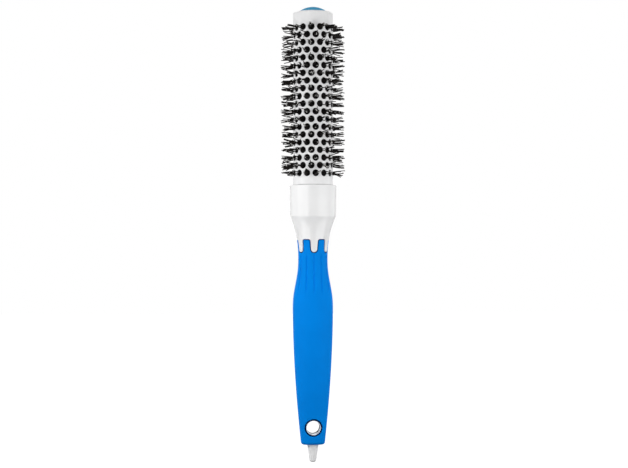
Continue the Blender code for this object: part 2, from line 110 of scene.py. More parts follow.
# %% [markdown]
# ## Studio
# Most of the light comes from two soft boxes before the brush, and the left one is a little brighter.
# A box above lights the rims, and dimmer ones at the sides and behind keep the back from going dark.
# Two low strips are only there to be mirrored in the glossy neck, so they add nothing to diffuse light.
# The pale world fills the rest. To the camera it is plain white.
# Light Path lets reflections see that white too.
# Behind the brush stand two grey cards. Its glossy edges mirror them, so that white doesn't melt into white.

# %% World
WORLD_LIGHT = 0.42


def white_to_camera(nodes, links):
    """One where a camera, mirror or glass ray looks, and zero for the light that falls on the brush."""
    path = nodes.new("ShaderNodeLightPath")
    seen = path.outputs["Is Camera Ray"]
    for ray in ("Is Transmission Ray", "Is Glossy Ray"):
        total = nodes.new("ShaderNodeMath")
        total.operation = "ADD"
        total.use_clamp = True
        links.new(seen, total.inputs[0])
        links.new(path.outputs[ray], total.inputs[1])
        seen = total.outputs[0]
    return seen


world = bpy.context.scene.world or bpy.data.worlds.new("studio")
bpy.context.scene.world = world
world.use_nodes = True
sky = world.node_tree.nodes
sky.clear()
sky_links = world.node_tree.links
sky_out = sky.new("ShaderNodeOutputWorld")
fill = sky.new("ShaderNodeBackground")
fill.inputs["Color"].default_value = (1.0, 1.0, 1.0, 1.0)
strength = sky.new("ShaderNodeMapRange")
strength.inputs["To Min"].default_value = WORLD_LIGHT
strength.inputs["To Max"].default_value = 1.0
sky_links.new(white_to_camera(sky, sky_links), strength.inputs["Value"])
sky_links.new(strength.outputs["Result"], fill.inputs["Strength"])
sky_links.new(fill.outputs["Background"], sky_out.inputs["Surface"])
print("world light on the brush:", WORLD_LIGHT)

# %% Lamps
LEFT_SPOT = (-0.23, -0.162)
RIGHT_SPOT = (0.2125, -0.183)
BOX_HEIGHT = 0.17
BOX_TALL = 0.187
STRIP_HEIGHT = 0.01


def soft_box(name, place, width, tall, brightness):
    """A soft box that faces the middle of the brush. At brightness 1 it is as bright as the white world."""
    bpy.ops.object.select_all(action="DESELECT")
    bpy.ops.object.light_add(type="AREA", location=place)
    lamp = bpy.context.object
    lamp.name = name
    lamp.data.shape = "RECTANGLE"
    lamp.data.size = width
    lamp.data.size_y = tall
    lamp.data.energy = 4 * width * tall * brightness
    aim = Vector((0, 0, CAMERA_HEIGHT)) - Vector(place)
    lamp.rotation_euler = aim.to_track_quat("-Z", "Y").to_euler()
    return lamp


soft_box("left_box", (*LEFT_SPOT, BOX_HEIGHT), width=0.323, tall=BOX_TALL, brightness=2.25)
soft_box("right_box", (*RIGHT_SPOT, BOX_HEIGHT), width=0.2975, tall=BOX_TALL, brightness=1.80)
soft_box("left_side_box", (-0.34, 0.094, BOX_HEIGHT), width=0.34, tall=BOX_TALL, brightness=0.7)
soft_box("right_side_box", (0.34, 0.094, BOX_HEIGHT), width=0.34, tall=BOX_TALL, brightness=0.7)
soft_box("top_box", (-0.05, -0.15, 0.95), width=0.7, tall=0.7, brightness=0.6)
soft_box("back_box", (0.10, 0.85, 0.35), width=1.0, tall=0.8, brightness=0.9)
for name, spot in (("left_strip", LEFT_SPOT), ("right_strip", RIGHT_SPOT)):
    strip = soft_box(name, (*spot, STRIP_HEIGHT), width=0.31, tall=0.13, brightness=2.4)
    strip.visible_diffuse = False

# %% Grey cards
CARD_GREY = 0.72


def glowing_paper(name, grey):
    """A paper without gloss and its shader. It glows white, once the shader's emission gets a strength."""
    paper = bpy.data.materials.new(name)
    paper.use_nodes = True
    shader = paper.node_tree.nodes["Principled BSDF"]
    shader.inputs["Base Color"].default_value = (grey, grey, grey, 1.0)
    shader.inputs["Specular IOR Level"].default_value = 0.0
    shader.inputs["Emission Color"].default_value = (1.0, 1.0, 1.0, 1.0)
    return paper, shader


def grey_card(name, place, width, tall, brightness):
    """A card that only shows in reflections. It faces the brush, casts no shadow and gives no light."""
    bpy.ops.object.select_all(action="DESELECT")
    bpy.ops.mesh.primitive_plane_add(size=1.0, location=place)
    card = bpy.context.object
    card.name = name
    card.scale = (width, tall, 1.0)
    card.rotation_euler = (Vector((0, 0, place[2])) - Vector(place)).to_track_quat("Z", "Y").to_euler()
    card.visible_camera = False
    card.visible_diffuse = False
    card.visible_transmission = False
    card.visible_shadow = False
    paper, shader = glowing_paper(name, 0.0)
    shader.inputs["Emission Strength"].default_value = brightness
    card.data.materials.append(paper)
    print("card", name, "at", place)


grey_card("left_card", (-0.30, 0.45, 0.12), width=0.5, tall=1.2, brightness=CARD_GREY)
grey_card("right_card", (0.30, 0.45, 0.12), width=0.5, tall=1.2, brightness=CARD_GREY)

# %% Floor
FLOOR_DROP = 0.25
FLOOR_SIZE = 12.0
PAPER_GREY = 0.70
PAPER_GLOW = 0.84

bpy.ops.object.select_all(action="DESELECT")
bpy.ops.mesh.primitive_plane_add(size=FLOOR_SIZE, location=(0, 0, TAIL_END - FLOOR_DROP))
floor = bpy.context.object
floor.name = "studio_floor"
paper, paper_shader = glowing_paper("studio_paper", PAPER_GREY)
paper_shader.inputs["Roughness"].default_value = 0.9
paper_nodes = paper.node_tree.nodes
paper_links = paper.node_tree.links
paper_glow = paper_nodes.new("ShaderNodeMath")
paper_glow.operation = "MULTIPLY"
paper_glow.inputs[1].default_value = PAPER_GLOW
paper_links.new(white_to_camera(paper_nodes, paper_links), paper_glow.inputs[0])
paper_links.new(paper_glow.outputs[0], paper_shader.inputs["Emission Strength"])
floor.data.materials.append(paper)
print("floor", round(FLOOR_DROP / MM), "mm below the tail")

# %% [markdown]
# ## Finishes
# Every finish is made of nodes on Object coordinates, so it stays put when the view or the light changes.
# A noise texture mixes two close tones, because no moulded or coated surface has one flat colour.
# The same kind of noise, much finer, becomes a bump: grain on the soft skin and orange peel on the coating.
# The white moulding has three finishes: polished outside, a darker, cooler tone in the hole that is painted
# shade, and a matt tail whose lighter tone is painted light. The two seam finishes are near-black copies of
# the plastics: painted shade round the fingers and in the hole.

# %% A finish made of two tones and a fine bump
TONE_NOISE = (0.35, 0.65)
SHINE_NOISE = (0.3, 0.7)


def two_tone_finish(name, dark, light, patch_size, grain_size, grain_height, roughness, specular):
    """A plastic, rubber or coating: noise mixes tones and roughness, and a finer noise is the grain."""
    finish = bpy.data.materials.new(name)
    finish.use_nodes = True
    nodes = finish.node_tree.nodes
    links = finish.node_tree.links
    shader = nodes["Principled BSDF"]
    shader.inputs["Specular IOR Level"].default_value = specular
    place = nodes.new("ShaderNodeTexCoord")
    patches = nodes.new("ShaderNodeTexNoise")
    patches.inputs["Scale"].default_value = 1.0 / patch_size
    patches.inputs["Detail"].default_value = 4.0
    links.new(place.outputs["Object"], patches.inputs["Vector"])
    tones = nodes.new("ShaderNodeValToRGB")
    for stop, position, tone in zip(tones.color_ramp.elements, TONE_NOISE, (dark, light)):
        stop.position = position
        stop.color = (*tone, 1.0)
    links.new(patches.outputs["Fac"], tones.inputs["Fac"])
    links.new(tones.outputs["Color"], shader.inputs["Base Color"])
    shine = nodes.new("ShaderNodeMapRange")
    shine.inputs["From Min"].default_value = SHINE_NOISE[0]
    shine.inputs["From Max"].default_value = SHINE_NOISE[1]
    shine.inputs["To Min"].default_value = roughness[0]
    shine.inputs["To Max"].default_value = roughness[1]
    links.new(patches.outputs["Fac"], shine.inputs["Value"])
    links.new(shine.outputs["Result"], shader.inputs["Roughness"])
    grain = nodes.new("ShaderNodeTexNoise")
    grain.inputs["Scale"].default_value = 1.0 / grain_size
    grain.inputs["Detail"].default_value = 3.0
    links.new(place.outputs["Object"], grain.inputs["Vector"])
    bump = nodes.new("ShaderNodeBump")
    bump.inputs["Strength"].default_value = 1.0
    bump.inputs["Distance"].default_value = grain_height
    links.new(grain.outputs["Fac"], bump.inputs["Height"])
    links.new(bump.outputs["Normal"], shader.inputs["Normal"])
    print("finish", name, "with grain of", round(grain_size / MM, 2), "mm")
    return finish


# %% The brush's own finishes
soft_blue = two_tone_finish("soft_blue_skin", (0.0, 0.221, 0.756), (0.0, 0.236, 0.797),
                            14 * MM, 0.22 * MM, 0.012 * MM, (0.50, 0.62), 0.015)
skin_shader = soft_blue.node_tree.nodes["Principled BSDF"]
skin_shader.inputs["Sheen Weight"].default_value = 0.40
skin_shader.inputs["Sheen Roughness"].default_value = 0.45
skin_shader.inputs["Sheen Tint"].default_value = (0.0, 0.30, 1.0, 1.0)
# Painted shade: a near-black blue for the faces deep in the grooves round the fingers and round the hanging
# hole.
painted_shade_seam_blue = two_tone_finish("painted_shade_seam_blue", (0.0, 0.024, 0.100), (0.0, 0.036, 0.140),
                            3 * MM, 0.22 * MM, 0.010 * MM, (0.60, 0.75), 0.015)
gloss_white = two_tone_finish("gloss_white_moulding", (0.785, 0.786, 0.788), (0.805, 0.806, 0.807),
                              11 * MM, 1.6 * MM, 0.003 * MM, (0.10, 0.15), 0.42)
# The liner is the white moulding again, in a darker, cooler tone: painted shade of the hole.
painted_shade_liner_white = two_tone_finish("painted_shade_liner_plastic", (0.60, 0.65, 0.72), (0.62, 0.67, 0.74),
                              5 * MM, 0.40 * MM, 0.004 * MM, (0.25, 0.35), 0.35)
# The tail is the white moulding again: its lighter tone is painted light for the dim light at the bottom, and
# its nose gets painted shade.
matt_white_painted_light_and_shade = two_tone_finish("matt_tail_painted_light_and_shade", (0.865, 0.866, 0.868), (0.885, 0.886, 0.887),
                             5 * MM, 0.40 * MM, 0.006 * MM, (0.50, 0.60), 0.25)
# Painted shade: a dark grey for the faces of the liner's middle groove.
painted_shade_seam_grey = two_tone_finish("painted_shade_seam_grey", (0.16, 0.16, 0.16), (0.24, 0.24, 0.24),
                            3 * MM, 0.30 * MM, 0.010 * MM, (0.55, 0.70), 0.1)
ceramic_white = two_tone_finish("ceramic_coat", (0.785, 0.786, 0.790), (0.815, 0.816, 0.820),
                                2.2 * MM, 0.35 * MM, 0.010 * MM, (0.40, 0.50), 0.35)
bare_metal = two_tone_finish("bare_tube_wall", (0.16, 0.16, 0.165), (0.24, 0.24, 0.245),
                             3 * MM, 0.30 * MM, 0.008 * MM, (0.38, 0.52), 0.5)
cap_blue = two_tone_finish("cap_blue_plastic", (0.042, 0.322, 0.545), (0.050, 0.345, 0.588),
                           6 * MM, 0.5 * MM, 0.005 * MM, (0.42, 0.52), 0.03)
black_nylon = two_tone_finish("black_nylon", (0.003, 0.0024, 0.0020), (0.013, 0.0100, 0.0086),
                              0.6 * MM, 0.12 * MM, 0.010 * MM, (0.42, 0.58), 0.06)
# Painted shade: a darker copy of the nylon for the bed and for the filaments inside the tube.
painted_shade_nylon = two_tone_finish("painted_shade_nylon", (0.0020, 0.0017, 0.0015), (0.0070, 0.0056, 0.0050),
                             1.2 * MM, 0.12 * MM, 0.010 * MM, (0.50, 0.65), 0.1)
# Painted highlight: the filaments' cut ends take a light grey, as glints on the black nylon.
painted_highlight_nylon = two_tone_finish("nylon_ends_painted_highlight", (0.36, 0.355, 0.345), (0.78, 0.77, 0.74),
                            0.5 * MM, 0.10 * MM, 0.008 * MM, (0.45, 0.60), 0.3)
bush_white = two_tone_finish("bush_white_plastic", (0.70, 0.70, 0.69), (0.74, 0.74, 0.73),
                             4 * MM, 0.4 * MM, 0.006 * MM, (0.40, 0.52), 0.5)
steel = two_tone_finish("twisted_steel", (0.50, 0.50, 0.51), (0.62, 0.62, 0.63),
                        0.8 * MM, 0.15 * MM, 0.006 * MM, (0.26, 0.42), 0.5)
for metal in (bare_metal, steel):
    metal.node_tree.nodes["Principled BSDF"].inputs["Metallic"].default_value = 1.0

# %% [markdown]
# Where the tube goes into the ferrule, a thin line of painted shade darkens its coat. It is a ramp on the
# height. The skin's lower edge and the tail's nose, which face down, get the same painted shade.

# %% Painted shade at the tube's foot, the skin's lower edge and the nose
def add_painted_shade_ramp(finish, shaded_height, unshaded_height, darkest):
    """Paint shade into a finish: darken it smoothly from the height where it is unshaded down to the height
    where it is most shaded.
    """
    nodes = finish.node_tree.nodes
    links = finish.node_tree.links
    colour = nodes["Principled BSDF"].inputs["Base Color"]
    tones = colour.links[0].from_socket
    place = nodes.new("ShaderNodeTexCoord")
    split = nodes.new("ShaderNodeSeparateXYZ")
    links.new(place.outputs["Object"], split.inputs["Vector"])
    ramp = nodes.new("ShaderNodeMapRange")
    ramp.interpolation_type = "SMOOTHSTEP"
    ramp.inputs["From Min"].default_value = shaded_height
    ramp.inputs["From Max"].default_value = unshaded_height
    ramp.inputs["To Min"].default_value = darkest
    ramp.inputs["To Max"].default_value = 1.0
    links.new(split.outputs["Z"], ramp.inputs["Value"])
    darker = nodes.new("ShaderNodeVectorMath")
    darker.operation = "MULTIPLY"
    links.new(tones, darker.inputs[0])
    links.new(ramp.outputs["Result"], darker.inputs[1])
    links.new(darker.outputs["Vector"], colour)


# Painted shade where the tube meets the ferrule, under the skin's lower edge and on the tail's nose.
add_painted_shade_ramp(ceramic_white, FERRULE_TOP + 0.20 * MM, FERRULE_TOP + 0.75 * MM, 0.66)
add_painted_shade_ramp(soft_blue, HEEL + 0.30 * MM, HEEL + 2.40 * MM, 0.74)
add_painted_shade_ramp(matt_white_painted_light_and_shade, TAIL_END + 0.20 * MM, TAIL_END + 1.60 * MM, 0.66)
print("painted shade above", [round(z / MM, 1) for z in (FERRULE_TOP, HEEL, TAIL_END)], "mm")

# %% [markdown]
# ## Growing a shape from a ring
# Most of this brush was turned or moulded round one axis, so one habit makes nearly all of it.
# A circle is added, then extruded again and again, and each new ring is set at its place along the surface.
# Every vertex carries its column number, so a ring can follow a wavy line and still match the ring before it.

# %% Helpers that grow rings
def start_ring(name, columns):
    """Add a circle with numbered vertices and stay in edit mode with the circle selected."""
    bpy.ops.object.select_all(action="DESELECT")
    bpy.ops.mesh.primitive_circle_add(vertices=columns, radius=MM)
    piece = bpy.context.object
    piece.name = name
    piece.data.name = name
    bpy.ops.object.mode_set(mode="EDIT")
    bpy.ops.mesh.select_mode(type="VERT")
    bpy.ops.mesh.select_all(action="SELECT")
    work = bmesh.from_edit_mesh(piece.data)
    number = work.verts.layers.int.new("column")
    for vert in work.verts:
        vert[number] = vert.index
    bmesh.update_edit_mesh(piece.data)
    return piece


def set_ring(piece, place):
    """Move the selected ring: place gives each column its point."""
    work = bmesh.from_edit_mesh(piece.data)
    number = work.verts.layers.int["column"]
    for vert in work.verts:
        if vert.select:
            vert.co = place(vert[number])
    bmesh.update_edit_mesh(piece.data)


def grow(piece, places):
    """Extrude the selected ring once for each place."""
    for place in places:
        bpy.ops.mesh.extrude_region()
        set_ring(piece, place)


def round_ring(columns, radius, height):
    """A level circle round the brush's axis, as a place for each column."""
    def place(column):
        angle = FRONT + FULL_TURN * column / columns
        return Vector((radius * math.cos(angle), radius * math.sin(angle), height))
    return place


def close_ring():
    """Shut the selected ring with a fan of triangles that meet at its middle."""
    bpy.ops.mesh.extrude_region()
    bpy.ops.mesh.merge(type="CENTER")


# %% Helpers that finish a piece
def leave_ring(piece, finish, sharp_degrees=40.0):
    """Merge seams, shut open ends, turn the faces outwards, go back to object mode and shade the piece."""
    bpy.ops.mesh.select_all(action="SELECT")
    bpy.ops.mesh.remove_doubles(threshold=0.001 * MM)
    bpy.ops.mesh.fill_holes(sides=0)
    bpy.ops.mesh.normals_make_consistent(inside=False)
    bpy.ops.object.mode_set(mode="OBJECT")
    bpy.ops.object.shade_smooth_by_angle(angle=math.radians(sharp_degrees))
    piece.data.materials.append(finish)
    print("made", piece.name, "with", len(piece.data.polygons), "faces")
    return piece


def hand_in(piece, slot, *nodes):
    """The piece stands for CAD nodes, which it hides, and moves with the brush. The slot is not used."""
    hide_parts(*nodes)
    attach(piece, "root")


# %% [markdown]
# ## The handle's outline
# Seen from the front, the handle swells from a thin waist to a belly and tapers to a narrow heel.
# Its section is round at the waist and a squarer oval at the heel. Narrow grooves run down from the fingers.
# These curves were settled in the CAD model. The same few numbers give the dense, smooth surface here.

# %% Width, depth and squareness at any height
WAIST_RADIUS = 9.2 * MM
EDGE_RADIUS = 14.45 * MM
BELLY_HALF = (12.65 * MM, 10.25 * MM)
HEEL_HALF = (7.4 * MM, 5.25 * MM)
NECK_POWER = 2.15
TAPER_POWER = 1.77
HEEL_SQUARENESS = 3.0


def eased(value):
    """A share held between 0 and 1, with a soft start and end."""
    share = min(1.0, max(0.0, value))
    return share ** 3 * (10 - 15 * share + 6 * share ** 2)


def toward_heel(height):
    """Share of the way from the belly down to the heel."""
    return min(1.0, max(0.0, (BELLY - height) / (BELLY - HEEL)))


def half_size(height, axis):
    """Half the handle's width (axis 0) or depth (axis 1) at a height."""
    if height >= WAIST:
        rise = min(1.0, (height - WAIST) / (FERRULE_EDGE - WAIST))
        return WAIST_RADIUS + (EDGE_RADIUS - WAIST_RADIUS) * rise ** NECK_POWER
    if height >= BELLY:
        return WAIST_RADIUS + (BELLY_HALF[axis] - WAIST_RADIUS) * eased((WAIST - height) / (WAIST - BELLY))
    return BELLY_HALF[axis] + (HEEL_HALF[axis] - BELLY_HALF[axis]) * toward_heel(height) ** TAPER_POWER


def squareness(height):
    """Power of the section's curve: 2 is an oval, and more is squarer."""
    return 2 + (HEEL_SQUARENESS - 2) * toward_heel(height)


print("handle is", round(2 * half_size(BELLY, 0) / MM, 2), "mm wide at the belly and",
      round(2 * half_size(HEEL, 0) / MM, 2), "mm at the heel")

# %% Points of the handle's surface, with its grooves
GROOVE_STEP = math.radians(30.0)
GROOVE_DEPTH = 0.58 * MM
GROOVE_HALF = 0.46 * MM
GROOVE_FADE_IN = 2 * MM
GROOVE_FADE_OUT = 7 * MM


def groove_dip(angle, height):
    """A groove runs down below the middle of each finger and each tab, and fades out above the belly."""
    lower = eased((height - GROOVE_END) / GROOVE_FADE_OUT)
    upper = eased((GROOVE_TOP - height) / GROOVE_FADE_IN)
    turns = (angle - FRONT) / GROOVE_STEP
    aside = (turns - round(turns)) * GROOVE_STEP * half_size(height, 0)
    return GROOVE_DEPTH * lower * upper * math.exp(-(aside / GROOVE_HALF) ** 2)


def handle_point(angle, height, inset=0.0, grooved=False):
    """A point of the handle's surface, or of a surface that lies an inset below it."""
    power = squareness(height)
    across = abs(math.cos(angle) / (half_size(height, 0) - inset)) ** power
    deep = abs(math.sin(angle) / (half_size(height, 1) - inset)) ** power
    reach = (across + deep) ** (-1 / power)
    if grooved:
        reach -= groove_dip(angle, height)
    return Vector((reach * math.cos(angle), reach * math.sin(angle), height))


def front_depth(x, height):
    """How far the front face stands before the middle plane."""
    power = squareness(height)
    share = min(1.0, abs(x) / half_size(height, 0))
    return half_size(height, 1) * (1 - share ** power) ** (1 / power)


print("front face at the hanging hole:", round(front_depth(0.0, 0.0) / MM, 2), "mm before the middle plane")

# %% [markdown]
# ## The scalloped line
# Six white fingers reach down from the neck, and six blue tabs reach up between them.
# Both mouldings share this line. White stops on it, and blue stops a thin groove away from it.
# A finger has a round tip and straight sides, and a tab has a flat top with eased corners.

# %% One point of the scalloped line for each column
FINGERS = 6
FINGER_HALF = 1.95 * MM
FINGER_DRAFT = 0.24 * MM
TAB_CORNER = 1.2 * MM
TIP_STEPS, SIDE_STEPS, CORNER_STEPS, TOP_STEPS = 6, 3, 3, 2
HALF_STEPS = TIP_STEPS + SIDE_STEPS + CORNER_STEPS + TOP_STEPS
HANDLE_COLUMNS = 2 * HALF_STEPS * FINGERS


def even_angle(column):
    """Angle of a column where the columns are shared out evenly."""
    return FRONT + FULL_TURN * column / HANDLE_COLUMNS


def half_scallop(step, gap):
    """(run, height) from a finger's middle to a tab's middle, kept a gap outside the finger."""
    half = FINGER_HALF + gap
    corner = TAB_CORNER - gap
    top = TAB_TOP - gap
    corner_start = half + FINGER_DRAFT
    if step <= TIP_STEPS:
        turn = math.pi / 2 * step / TIP_STEPS
        return half * math.sin(turn), FINGER_TIP - gap + half * (1 - math.cos(turn))
    step -= TIP_STEPS
    if step <= SIDE_STEPS:
        low = FINGER_TIP - gap + half
        share = step / SIDE_STEPS
        return half + FINGER_DRAFT * share, low + (top - corner - low) * share
    step -= SIDE_STEPS
    if step <= CORNER_STEPS:
        turn = math.pi / 2 * step / CORNER_STEPS
        return corner_start + corner * (1 - math.cos(turn)), top - corner * (1 - math.sin(turn))
    share = (step - CORNER_STEPS) / TOP_STEPS
    tab_middle = math.pi * WAIST_RADIUS / FINGERS
    return corner_start + corner + (tab_middle - corner_start - corner) * share, top


def scallop(column, gap):
    """(angle, height) of a column on the scalloped line."""
    finger, step = divmod(column, 2 * HALF_STEPS)
    side = 1
    if step > HALF_STEPS:
        finger, step, side = finger + 1, 2 * HALF_STEPS - step, -1
    run, height = half_scallop(step, gap)
    return FRONT + FULL_TURN * finger / FINGERS + side * run / WAIST_RADIUS, height


print("columns round the handle:", HANDLE_COLUMNS)


# %% Rings of the handle, level or drawn towards the scalloped line
def even_ring(height, inset=0.0, grooved=False):
    """A level ring of the handle's surface."""
    return lambda column: handle_point(even_angle(column), height, inset, grooved)


def scallop_ring(gap, inset, start_height, share=1.0, grooved=False):
    """A ring part of the way from a level start to the scalloped line."""
    def place(column):
        angle, height = scallop(column, gap)
        angle = even_angle(column) * (1 - share) + angle * share
        height = start_height * (1 - share) + height * share
        return handle_point(angle, height, inset, grooved)
    return place


# %% [markdown]
# ## White moulding: ferrule, neck and fingers
# The real part is one glossy moulding that runs from the tube's socket down inside the handle.
# The rings start at the socket's floor, turn over the rim and run down the ferrule to its crisp lower edge.
# Then they follow the hollow neck to the scalloped line, roll over it and go on inside as the spine.

# %% Grow the white moulding
SOCKET_RADIUS = 12.8 * MM
SOCKET_FLOOR = FERRULE_TOP - 10.0 * MM
SOCKET_LIP = [(0.0, 0.30), (0.08, 0.08), (0.30, 0.0)]
WIRE_BORE = 2.0 * MM
FERRULE_RADIUS = 14.75 * MM
RIM_ROUND = 0.4 * MM
ROUND_STEPS = 6
FERRULE_FOOT = FERRULE_EDGE + 0.12 * MM
NECK_TOP = FERRULE_EDGE - 0.05 * MM
NECK_BLEND = TAB_TOP + 2.6 * MM
WHITE_START = -0.30 * MM
WHITE_EDGE = [(-0.14, 0.02), (-0.05, 0.07), (-0.01, 0.16), (0.0, 0.30), (0.0, 1.70)]
SPINE_INSET = 2.2 * MM
SPINE_TOP = FINGER_TIP - 3 * MM
SPINE_END = 9.6 * MM


def steps(start, end, count):
    """Values after start, in even steps, up to and with end."""
    return [start + (end - start) * k / count for k in range(1, count + 1)]


def quarter_turns():
    """Angles of a quarter circle, in even steps."""
    return [math.pi / 2 * k / ROUND_STEPS for k in range(ROUND_STEPS + 1)]


white = start_ring("white_moulding", HANDLE_COLUMNS)
set_ring(white, round_ring(HANDLE_COLUMNS, WIRE_BORE, SOCKET_FLOOR))
turned = [(SOCKET_RADIUS, SOCKET_FLOOR)]
turned += [(SOCKET_RADIUS + step * MM, FERRULE_TOP - drop * MM) for step, drop in SOCKET_LIP]
for turn in quarter_turns():
    radius = FERRULE_RADIUS - RIM_ROUND * (1 - math.sin(turn))
    turned.append((radius, FERRULE_TOP - RIM_ROUND * (1 - math.cos(turn))))
for height in steps(FERRULE_TOP - RIM_ROUND, FERRULE_FOOT, 8):
    share = (FERRULE_TOP - height) / (FERRULE_TOP - FERRULE_EDGE)
    turned.append((FERRULE_RADIUS + (EDGE_RADIUS - FERRULE_RADIUS) * share, height))
grow(white, [round_ring(HANDLE_COLUMNS, radius, height) for radius, height in turned])
grow(white, [even_ring(z) for z in [NECK_TOP] + steps(NECK_TOP, NECK_BLEND, 12)])
grow(white, [scallop_ring(WHITE_START, 0.0, NECK_BLEND, share) for share in steps(0.0, 1.0, 7)])
grow(white, [scallop_ring(gap * MM, inset * MM, NECK_BLEND) for gap, inset in WHITE_EDGE])
grow(white, [even_ring(z, SPINE_INSET) for z in steps(SPINE_TOP, SPINE_END, 24)])
close_ring()
leave_ring(white, gloss_white, sharp_degrees=35.0)

# %% [markdown]
# ## Hanging hole liner and tail
# The white moulding shows again at the heel.
# There it is a liner in the hanging hole, and a short tail below the skin.
# The liner is a sleeve across the handle. Its rims follow the handle's rounded faces, a little below them.
# Its bore narrows towards the middle, as a mould needs, and a shallow groove runs round where the halves met.
# The tail is a tapered peg with a rounded end. Both are joined to the white moulding as one piece.

# %% Grow the liner
HOLE_COLUMNS = 96
LINER_BORE = 4.40 * MM
LINER_OUTER = 4.64 * MM
LINER_GROOVE = 1.8 * MM
LINER_WAIST = [(4.46, 0.0), (4.46, 1.7), (4.02, 1.75), (4.02, 1.95)]
LINER_RIM = [(0.00, 0.75), (0.03, 0.62), (0.09, 0.56), (0.15, 0.56), (0.21, 0.62), (0.24, 0.75), (0.24, 1.90)]


def hole_ring(radius, sunk, side):
    """A ring round the hanging hole, sunk below the handle's front (side -1) or back (side 1)."""
    def place(column):
        turn = FULL_TURN * column / HOLE_COLUMNS
        x, z = radius * math.cos(turn), radius * math.sin(turn)
        return Vector((x, side * (front_depth(x, z) - sunk), z))
    return place


def bore_place(radius, depth):
    """A flat ring round the hanging hole, at a depth before or behind the handle's middle plane."""
    def place(column):
        turn = FULL_TURN * column / HOLE_COLUMNS
        return Vector((radius * math.cos(turn), depth, radius * math.sin(turn)))
    return place


liner = start_ring("hole_liner", HOLE_COLUMNS)
set_ring(liner, bore_place(LINER_WAIST[0][0] * MM, 0.0))
grow(liner, [bore_place(radius * MM, -depth * MM) for radius, depth in LINER_WAIST[1:]])
grow(liner, [hole_ring(LINER_BORE + step * MM, sunk * MM, -1) for step, sunk in LINER_RIM])
grow(liner, [bore_place(LINER_OUTER, 0.0)])
grow(liner, [hole_ring(LINER_BORE + step * MM, sunk * MM, 1) for step, sunk in reversed(LINER_RIM)])
grow(liner, [bore_place(radius * MM, depth * MM) for radius, depth in reversed(LINER_WAIST)])
# The liner's darker, cooler white is painted shade.
leave_ring(liner, painted_shade_liner_white)
# The faces in the bore's middle groove take the dark grey as painted shade.
liner.data.materials.append(painted_shade_seam_grey)
for face in liner.data.polygons:
    in_bore = math.hypot(face.center.x, face.center.z) < LINER_OUTER - 0.1 * MM
    if in_bore and abs(face.center.y) < LINER_GROOVE:
        face.material_index = 1

# %% Grow the tail
TAIL_COLUMNS = 48
TAIL_ROOT = HEEL + 2.2 * MM
TAIL_RADIUS = 3.6 * MM
TAIL_END_RADIUS = 2.2 * MM
TAIL_NOSE = 1.6 * MM

tail = start_ring("tail_peg", TAIL_COLUMNS)
set_ring(tail, round_ring(TAIL_COLUMNS, TAIL_RADIUS, TAIL_ROOT))
tail_rings = []
for height in steps(TAIL_ROOT, TAIL_END + TAIL_NOSE, 9):
    share = max(0.0, (HEEL - height) / (HEEL - TAIL_END - TAIL_NOSE))
    tail_rings.append((TAIL_RADIUS + (TAIL_END_RADIUS - TAIL_RADIUS) * share, height))
for turn in quarter_turns()[1:]:
    radius = TAIL_END_RADIUS - TAIL_NOSE * (1 - math.cos(turn))
    tail_rings.append((radius, TAIL_END + TAIL_NOSE * (1 - math.sin(turn))))
grow(tail, [round_ring(TAIL_COLUMNS, radius, height) for radius, height in tail_rings])
close_ring()
# The tail's lighter white is painted light.
leave_ring(tail, matt_white_painted_light_and_shade)

# %% Join them to the white moulding
bpy.ops.object.select_all(action="DESELECT")
for part in (liner, tail, white):
    part.select_set(True)
bpy.context.view_layer.objects.active = white
bpy.ops.object.join()
hand_in(white, "handle_plastic", "handle_core")
print("white moulding has", len(white.data.polygons), "faces")

# %% [markdown]
# ## Blue skin
# The grip is a soft skin moulded over the white spine. It carries the grooves, the tabs and the hanging hole.
# The rings start in the tail's pocket, turn round the heel and climb the outside to the scalloped line.
# They roll over it and go down again inside as the pocket for the spine.
# So the skin is a closed wall with real thickness.

# %% Grow the blue skin
TAIL_POCKET = 3.82 * MM
TAIL_POCKET_TOP = HEEL + 2.6 * MM
TAIL_POCKET_LIP = [(0.0, 0.30), (0.04, 0.12), (0.14, 0.03), (0.30, 0.0)]
HEEL_ROUND = 1.3 * MM
HOLE_ZONE = 7.5 * MM
GRIP_BLEND = FINGER_TIP - 2.6 * MM
BLUE_START = 0.95 * MM
BLUE_EDGE = [(0.82, 0.03), (0.73, 0.10), (0.67, 0.20), (0.63, 0.36), (0.62, 0.55), (0.05, 0.60), (0.05, 1.60)]
POCKET_INSET = 1.9 * MM
POCKET_FLOOR = 8.6 * MM

skin = start_ring("blue_skin", HANDLE_COLUMNS)
set_ring(skin, round_ring(HANDLE_COLUMNS, TAIL_POCKET, TAIL_POCKET_TOP))
for step, rise in TAIL_POCKET_LIP:
    grow(skin, [round_ring(HANDLE_COLUMNS, TAIL_POCKET + step * MM, HEEL + rise * MM)])
for turn in quarter_turns():
    grow(skin, [even_ring(HEEL + HEEL_ROUND * (1 - math.cos(turn)), HEEL_ROUND * (1 - math.sin(turn)))])
grow(skin, [even_ring(z) for z in steps(HEEL + HEEL_ROUND, -HOLE_ZONE, 3)])
grow(skin, [even_ring(z) for z in steps(-HOLE_ZONE, HOLE_ZONE, 34)])
grow(skin, [even_ring(z, grooved=True) for z in steps(HOLE_ZONE, GRIP_BLEND, 60)])
for share in steps(0.0, 1.0, 8):
    grow(skin, [scallop_ring(BLUE_START, 0.0, GRIP_BLEND, share, grooved=True)])
for gap, inset in BLUE_EDGE:
    grow(skin, [scallop_ring(gap * MM, inset * MM, GRIP_BLEND, grooved=True)])
grow(skin, [even_ring(z, POCKET_INSET) for z in steps(SPINE_TOP, POCKET_FLOOR, 24)])
close_ring()
print("skin so far:", len(bmesh.from_edit_mesh(skin.data).faces), "faces")

